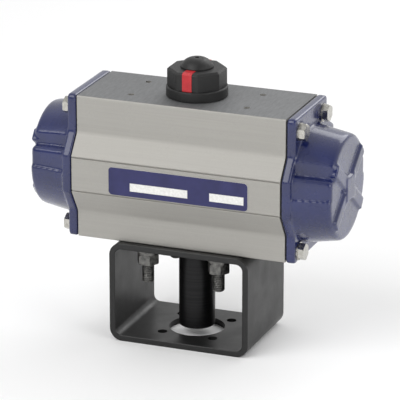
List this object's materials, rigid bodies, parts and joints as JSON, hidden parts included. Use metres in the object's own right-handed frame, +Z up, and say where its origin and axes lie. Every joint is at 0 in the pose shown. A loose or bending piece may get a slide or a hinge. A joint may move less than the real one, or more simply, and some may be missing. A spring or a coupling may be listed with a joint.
{
  "type": "rotary pneumatic actuator",
  "caption": "Rack and pinion rotary pneumatic actuator with spring return, an aluminium cylinder with blue end caps, a position indicator and a box bracket.",
  "frame": {"origin": "on the drive axis at the lower face of the mounting bracket, the face that is bolted to a valve", "axes": "+Z up along the drive axis to the indicator, X along the cylinder, -Y the nameplate side, +Y the air port side"},
  "size_m": [0.213, 0.0985, 0.1898],
  "materials": {
    "extruded_aluminium": "bead blasted, clear anodised",
    "die_cast_aluminium": "machined die casting",
    "blue_cap": "gloss blue epoxy coat on die cast aluminium",
    "stainless": "bright stainless steel",
    "dark_steel": "dull plated steel",
    "black_bracket": "satin black paint on steel plate",
    "machined_steel": "turned and nickel plated steel",
    "black_steel": "blackened steel",
    "bearing_plastic": "acetal",
    "black_plastic": "moulded, fine texture",
    "red_plastic": "moulded",
    "seal_rubber": "nitrile",
    "spring_steel": "coated spring wire",
    "printed_plate": "anodised blue with bare white fields"
  },
  "bodies": {
    "housing": {"cylinder_body": "extruded_aluminium", "nameplate": "printed_plate", "upper_bearing": "bearing_plastic", "lower_bearing": "bearing_plastic", "centring_ring": "machined_steel", "mounting_bracket": "black_bracket", "mounting_studs": "dark_steel", "mounting_flat_washers": "dark_steel", "mounting_lock_washers": "dark_steel", "mounting_nuts": "dark_steel", "stop_locknuts": "stainless", "stop_seals": "seal_rubber", "end_cap_left": "blue_cap", "end_cap_right": "blue_cap", "cap_gasket_left": "seal_rubber", "cap_gasket_right": "seal_rubber", "cap_screws_left": "stainless", "cap_screws_right": "stainless", "cap_washers_left": "stainless", "cap_washers_right": "stainless", "outer_spring_left": "spring_steel", "outer_spring_right": "spring_steel", "inner_spring_left": "spring_steel", "inner_spring_right": "spring_steel"},
    "drive_shaft": {"pinion_shaft": "machined_steel", "stop_cam": "machined_steel", "upper_shaft_seal": "seal_rubber", "lower_shaft_seal": "seal_rubber", "thrust_washer": "bearing_plastic", "retaining_ring": "black_steel", "drive_coupling": "black_steel", "indicator_base": "black_plastic", "indicator_cap": "black_plastic", "indicator_markers": "red_plastic", "indicator_screw": "black_steel", "indicator_plug": "black_plastic"},
    "left_piston": {"piston_rack_left": "die_cast_aluminium", "piston_seal_left": "seal_rubber", "piston_guide_band_left": "bearing_plastic", "rack_guide_pad_left": "bearing_plastic", "spring_seat_left": "machined_steel"},
    "right_piston": {"piston_rack_right": "die_cast_aluminium", "piston_seal_right": "seal_rubber", "piston_guide_band_right": "bearing_plastic", "rack_guide_pad_right": "bearing_plastic", "spring_seat_right": "machined_steel"},
    "closed_stop": {"stop_screw_closed": "stainless"},
    "open_stop": {"stop_screw_open": "stainless"}
  },
  "joints": [
    {"name": "pinion_turn", "type": "hinge", "parent": "housing", "child": "drive_shaft", "pos_m": [0, 0, 0.114], "axis": [0, 0, 1], "range_deg": [0, 90], "stiffness_Nm_per_rad": 0.4, "springref_deg": -68.75},
    {"name": "left_piston_slide", "type": "slide", "parent": "housing", "child": "left_piston", "axis": [-1, 0, 0], "range_m": [0, 0.01964], "deforming": ["outer_spring_left", "inner_spring_left"]},
    {"name": "right_piston_slide", "type": "slide", "parent": "housing", "child": "right_piston", "axis": [1, 0, 0], "range_m": [0, 0.01964], "deforming": ["outer_spring_right", "inner_spring_right"]},
    {"name": "closed_stop_adjust", "type": "slide", "parent": "housing", "child": "closed_stop", "axis": [0, 1, 0], "range_m": [0, 0.0035]},
    {"name": "open_stop_adjust", "type": "slide", "parent": "housing", "child": "open_stop", "axis": [0, 1, 0], "range_m": [0, 0.0035]}
  ],
  "couplings": [
    {"joint": "left_piston_slide", "follows": "pinion_turn", "m_per_rad": 0.0125},
    {"joint": "right_piston_slide", "follows": "pinion_turn", "m_per_rad": 0.0125}
  ]
}
